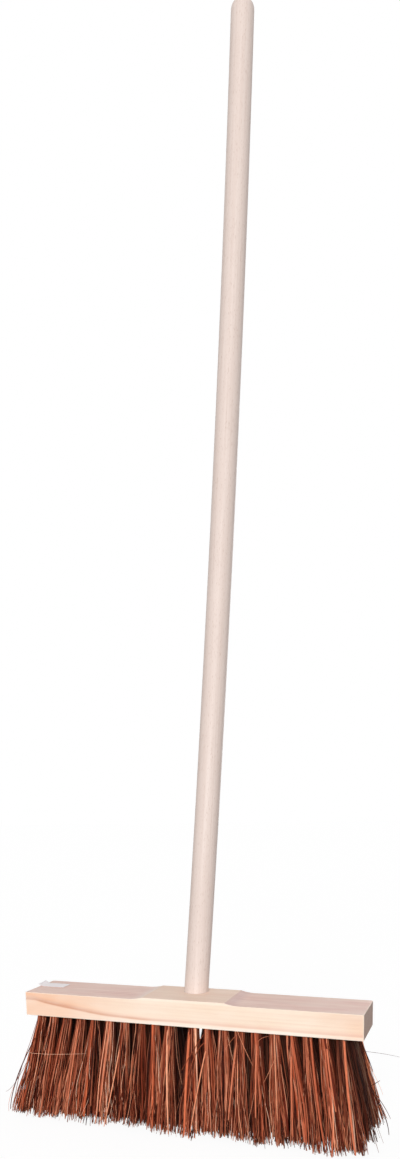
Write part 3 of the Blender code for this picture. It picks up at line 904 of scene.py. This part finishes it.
# Near-black brown that stands for the shade inside the tufts: painted shade.
PAINTED_SHADE_BROWN = (0.012, 0.002, 0.0008)
FIBRE_RED = (1.0, 0.60, 0.42)
CUT_TIP = (0.42, 0.22, 0.13)
STREAKS_ACROSS = 900
STREAKS_ALONG = 45
STREAKINESS = 0.35
FIBRE_TONES = ((0.0, (0.024, 0.003, 0.001)), (0.25, (0.145, 0.022, 0.007)), (0.5, (0.40, 0.105, 0.050)),
               (0.75, (0.70, 0.250, 0.140)), (0.92, (0.96, 0.43, 0.25)), (1.0, (1.0, 0.64, 0.47)))


def make_palm_fibre():
    """Dry palm fibre: every strand has its own brown, streaked along its length, paler at the cut tip."""
    material, tree, shader, coords = new_finish("palm_fibre_finish")
    x, y, z = parts_of(coords)
    streaky = noise(tree, xyz(tree, x * STREAKS_ACROSS, y * STREAKS_ACROSS, z * STREAKS_ALONG), detail=3.0)
    mixed = painted(tree, "tone") + (streaky - 0.5) * STREAKINESS
    ramp = put(tree, "ShaderNodeValToRGB", {"Fac": mixed})
    stops = ramp.color_ramp.elements
    for number, (place, colour) in enumerate(FIBRE_TONES):
        stop = stops[number] if number < 2 else stops.new(place)
        stop.position = place
        stop.color = (*colour, 1.0)
    colour = Wire(tree, ramp.outputs["Color"])
    colour = blended(tree, painted(tree, "along").ramp(0.97, 1.0) * 0.4, colour, CUT_TIP)
    colour = blended(tree, painted(tree, "redness"), colour, FIBRE_RED, "MULTIPLY")
    # Painted shade: each strand's colour gives way to the near-black brown by how little of it is noted lit.
    colour = blended(tree, painted(tree, "bleached"), PAINTED_SHADE_BROWN, colour)
    dress(tree, shader, Base_Color=colour, Roughness=streaky.ramp(0.3, 0.7, 0.45, 0.7),
          Normal=bump(tree, streaky, 0.4, 0.0002), Specular_IOR_Level=0.15)
    return material


palm_fibre = make_palm_fibre()
tuft_tree = make_tuft_tree()
amounts = {label: kind[0] for label, kind in STRAND_KINDS.items()}
tufted_places = [place for place in range(TUFT_PLACES) if place != TUFT_PLACES // 2]
for number, place in enumerate(tufted_places, start=1):
    rank = grown(f"tufts_{number:02d}", tuft_tree,
                 {"First Place": place, "Last Place": place, **amounts, "Material": palm_fibre})
    rank.data.shade_smooth()
    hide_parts(f"tuft_rank_{number:02d}")
    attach(rank, "root")

# Stray fibres: single fibres that have worked loose at both ends and along the front.
# Each starts at a strand of a tuft, bends, and ends free.
# Its start, bend and end are given, then its thickness and tone.
STRAY_SEGMENTS = 12
STRAY_SIDES = 6
STRAY_REDNESS = 0.3
STRAY_FLATNESS = 0.9
STRAYS = (
    ((0.186, -0.088, 0.0985), (0.2075, -0.066, 0.0908), (0.2250, -0.026, 0.0755), 0.0004, 0.10),
    ((0.196, -0.085, 0.0560), (0.205, -0.085, 0.0619), (0.2102, -0.085, 0.0659), 0.0010, 0.05),
    ((0.187, -0.080, 0.1100), (0.197, -0.080, 0.0864), (0.2018, -0.080, 0.0731), 0.0012, 0.05),
    ((0.194, -0.075, 0.0850), (0.207, -0.075, 0.0592), (0.2124, -0.075, 0.0458), 0.0005, 0.95),
    ((0.1978, -0.0832, 0.0596), (0.214, -0.085, 0.0380), (0.2222, -0.085, 0.0228), 0.0008, 0.12),
    ((0.1992, -0.1115, 0.0707), (0.217, -0.110, 0.0398), (0.2237, -0.110, 0.0147), 0.0013, 0.05),
    ((0.2014, -0.1192, 0.0299), (0.207, -0.120, 0.0133), (0.2109, -0.120, 0.0070), 0.0009, 0.05),
    ((0.1983, -0.1414, 0.0377), (0.204, -0.142, 0.0198), (0.2049, -0.144, 0.0092), 0.0014, 0.03),
    ((-0.1901, -0.1395, 0.0971), (-0.213, -0.148, 0.0475), (-0.2236, -0.150, 0.0077), 0.0015, 0.15),
    ((-0.202, -0.143, 0.0660), (-0.215, -0.150, 0.0417), (-0.2246, -0.156, 0.0320), 0.00055, 0.30),
    ((-0.2113, -0.1455, 0.0503), (-0.222, -0.151, 0.0246), (-0.2246, -0.152, 0.0053), 0.0006, 0.80),
    ((-0.2020, -0.1410, 0.0787), (-0.163, -0.154, 0.0837), (-0.1180, -0.146, 0.0860), 0.00045, 1.0),
    ((0.063, -0.137, 0.1260), (0.073, -0.146, 0.1110), (0.0840, -0.149, 0.0914), 0.0006, 0.85),
    ((0.0509, -0.1388, 0.1052), (0.058, -0.144, 0.1150), (0.0640, -0.138, 0.1220), 0.0005, 0.75),
    ((0.0867, -0.1376, 0.1154), (0.094, -0.144, 0.1218), (0.0990, -0.138, 0.1221), 0.0004, 0.85),
    ((0.1066, -0.1391, 0.0996), (0.103, -0.149, 0.0887), (0.0960, -0.149, 0.0740), 0.0005, 0.88),
    ((0.024, -0.131, 0.1190), (0.014, -0.142, 0.1010), (0.0010, -0.147, 0.0780), 0.0010, 0.35),
    ((0.026, -0.133, 0.1080), (0.018, -0.143, 0.0990), (0.0080, -0.148, 0.0700), 0.0010, 0.45),
    ((0.0113, -0.1313, 0.1200), (0.018, -0.141, 0.1020), (0.0240, -0.146, 0.0780), 0.0010, 0.30),
    ((-0.0784, -0.1300, 0.1124), (-0.0815, -0.1480, 0.0650), (-0.0944, -0.1552, 0.0032), 0.0015, 0.88),
    ((0.0258, -0.1284, 0.1043), (0.0240, -0.1470, 0.0780), (0.0122, -0.1552, 0.0090), 0.0015, 0.86),
)
# Leading splints: the broad bright ones that lie foremost in the front row.
# Each has its place along the head, its tip along the head and above the ground, its width, its tone
# and its redness.
LEADING_SPLINTS = (
    (-0.1310, -0.1436, 0.015, 0.0020, 0.74, 0.5), (-0.0905, -0.1007, 0.020, 0.0030, 0.76, 0.4),
    (-0.0200, -0.0137, 0.004, 0.0024, 0.86, 0.0), (0.0070, 0.0050, 0.005, 0.0034, 0.72, 0.8),
    (0.0630, 0.0564, 0.028, 0.0026, 0.68, 0.3), (0.0851, 0.0872, 0.034, 0.0022, 0.70, 0.4),
    (0.1230, 0.1288, 0.018, 0.0022, 0.64, 0.5), (0.1430, 0.1629, 0.012, 0.0026, 0.58, 0.6),
    (0.1595, 0.1737, 0.050, 0.0022, 0.70, 0.5), (0.1783, 0.1953, 0.007, 0.0028, 0.72, 0.6),
)
SPLINT_ROOT = (-0.1330, 0.129)
SPLINT_TOP_Y = -0.1395
SPLINT_SPLAY = 0.0165
SPLINT_BEND = 0.45
SPLINT_FLATNESS = 0.4


def splint_path(root_x, tip_x, tip_z):
    """From inside its hole down the front of the bundle."""
    bend_z = (SPLINT_ROOT[1] + tip_z) / 2
    bend_y, tip_y = [SPLINT_TOP_Y - SPLINT_SPLAY * (1 - z / UNDERSIDE_Z) for z in (bend_z, tip_z)]
    bend_x = root_x + (tip_x - root_x) * SPLINT_BEND
    return (root_x, *SPLINT_ROOT), (bend_x, bend_y, bend_z), (tip_x, tip_y, tip_z)


def make_stray():
    """One loose fibre through three points."""
    tree, given, made = new_tree("stray_fibre", "GeometryNodeTree",
                                 [("Start", "Vector", (0, 0, 0)), ("Bend", "Vector", (0, 0, 0)),
                                  ("End", "Vector", (0, 0, 0)), ("Thickness", "Float", 0.001),
                                  ("Tone", "Float", 0.5), ("Redness", "Float", STRAY_REDNESS),
                                  ("Flatness", "Float", STRAY_FLATNESS)])
    between = out(tree, "ShaderNodeVectorMath", {0: given["Start"], 1: given["End"]}, operation="ADD")
    between = out(tree, "ShaderNodeVectorMath", {0: between, "Scale": -0.5}, operation="SCALE")
    twice = out(tree, "ShaderNodeVectorMath", {0: given["Bend"], "Scale": 2.0}, operation="SCALE")
    control = out(tree, "ShaderNodeVectorMath", {0: twice, 1: between}, operation="ADD")
    curve = out(tree, "GeometryNodeCurveQuadraticBezier",
                {"Resolution": STRAY_SEGMENTS, "Start": given["Start"], "Middle": control,
                 "End": given["End"]})
    girth = given["Thickness"] * noted(tree, "along").ramp(0.6, 1.0, 0.5, 0.3)
    # Loose fibres are noted fully lit, free of the tufts' painted shade.
    for name, value in (("along", out(tree, "GeometryNodeSplineParameter", name="Factor")),
                        ("tone", given["Tone"]), ("bleached", 1.0), ("redness", given["Redness"]),
                        ("girth", girth)):
        curve = note(curve, name, value)
    skin = swept(curve, STRAY_SIDES, given["Flatness"], noted(tree, "girth"))
    tree.links.new(skin.socket, made.inputs[0])
    return tree


def make_strays():
    """All the loose fibres in one piece."""
    stray = make_stray()
    tree, given, made = new_tree("stray_fibres", "GeometryNodeTree", [("Material", "Material", None)])
    paths = [(*row, STRAY_REDNESS, STRAY_FLATNESS) for row in STRAYS]
    paths += [(*splint_path(*row[:3]), *row[3:], SPLINT_FLATNESS) for row in LEADING_SPLINTS]
    loose = [place_group(tree, stray, {"Start": start, "Bend": bend, "End": end, "Thickness": thickness,
                                       "Tone": tone, "Redness": redness, "Flatness": flatness})["Geometry"]
             for start, bend, end, thickness, tone, redness, flatness in paths]
    return hand_over(made, out(tree, "GeometryNodeJoinGeometry", {"Geometry": loose}), given["Material"])


strays = grown("stray_fibres", make_strays(), {"Material": palm_fibre})
strays.data.shade_smooth()
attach(strays, "root")

# Studio: a white floor that keeps a faint shadow, a white surround, and soft light from the front left.
# The camera stands close, a little above the head, and its lens is shifted up to take in the handle.
FLOOR_SIZE = 30.0
FLOOR_GREY = 0.5
SHADOW_GREY = 0.14
FLOOR_GLOW = 0.90
WORLD_LIGHT = 0.36
KEY_STRENGTH = 2.5
KEY_TURN = Euler((math.radians(68), 0.0, math.radians(12)))
KEY_SPREAD = math.radians(35)
BACK_STRENGTH = 0.6
BACK_TURN = Euler((math.radians(82), 0.0, math.radians(176)))
BACK_SPREAD = math.radians(30)
CAMERA_FROM_HEAD = (0.31772, -0.83396, 0.24348)
CAMERA_TURN = [math.radians(value) for value in (80.692, 1.2, 19.979)]
CAMERA_LENS = 24.85
CAMERA_SENSOR = 36.0
CAMERA_SHIFT_UP = 0.30762
CAMERA_CLIP = 0.05


def seen_directly(tree):
    """1 for what the camera sees, also in metal or through glass."""
    path = put(tree, "ShaderNodeLightPath")
    seen = Wire(tree, path.outputs["Is Camera Ray"])
    for name in ("Is Glossy Ray", "Is Transmission Ray"):
        seen = seen.op("MAXIMUM", Wire(tree, path.outputs[name]))
    return seen


def make_floor():
    """A level sheet under the broom."""
    bm = bmesh.new()
    half = FLOOR_SIZE / 2
    bm.faces.new([bm.verts.new(corner) for corner in ((-half, -half, 0), (half, -half, 0),
                                                      (half, half, 0), (-half, half, 0))])
    floor = placed("floor", mesh_of(bm, "floor"))
    material = bpy.data.materials.new("floor_white")
    material.use_nodes = True
    tree = material.node_tree
    tree.nodes.clear()
    plain, faint = [out(tree, "ShaderNodeBsdfDiffuse", {"Color": (grey, grey, grey, 1.0)})
                    for grey in (FLOOR_GREY, SHADOW_GREY)]
    glow = out(tree, "ShaderNodeEmission", {"Color": (1.0, 1.0, 1.0, 1.0), "Strength": FLOOR_GLOW})
    shown = out(tree, "ShaderNodeAddShader", {0: faint, 1: glow})
    mixed = out(tree, "ShaderNodeMixShader", {0: seen_directly(tree), 1: plain, 2: shown})
    put(tree, "ShaderNodeOutputMaterial", {"Surface": mixed})
    floor.data.materials.append(material)


def make_surround():
    """A world that lights at a plain level and looks white."""
    world = bpy.data.worlds.new("surround")
    bpy.context.scene.world = world
    world.use_nodes = True
    tree = world.node_tree
    tree.nodes.clear()
    strength = seen_directly(tree).ramp(0.0, 1.0, WORLD_LIGHT, 1.0)
    light = out(tree, "ShaderNodeBackground", {"Color": (1.0, 1.0, 1.0, 1.0), "Strength": strength})
    put(tree, "ShaderNodeOutputWorld", {"Surface": light})


def make_sun(name, strength, turn, spread):
    """A large soft lamp, far away."""
    data = bpy.data.lights.new(name, "SUN")
    data.energy = strength
    data.angle = spread
    placed(name, data).rotation_euler = turn


make_floor()
make_surround()
make_sun("key_lamp", KEY_STRENGTH, KEY_TURN, KEY_SPREAD)
make_sun("back_lamp", BACK_STRENGTH, BACK_TURN, BACK_SPREAD)
camera_data = bpy.data.cameras.new("camera")
camera_data.sensor_width = CAMERA_SENSOR
camera_data.lens = CAMERA_LENS
camera_data.shift_y = CAMERA_SHIFT_UP
camera_data.clip_start = CAMERA_CLIP
camera = placed("camera", camera_data)
camera.location = Vector((0.0, HEAD_MIDDLE_Y, UNDERSIDE_Z)) + Vector(CAMERA_FROM_HEAD)
camera.rotation_euler = CAMERA_TURN
bpy.context.scene.camera = camera
bpy.context.scene.view_settings.view_transform = "Standard"
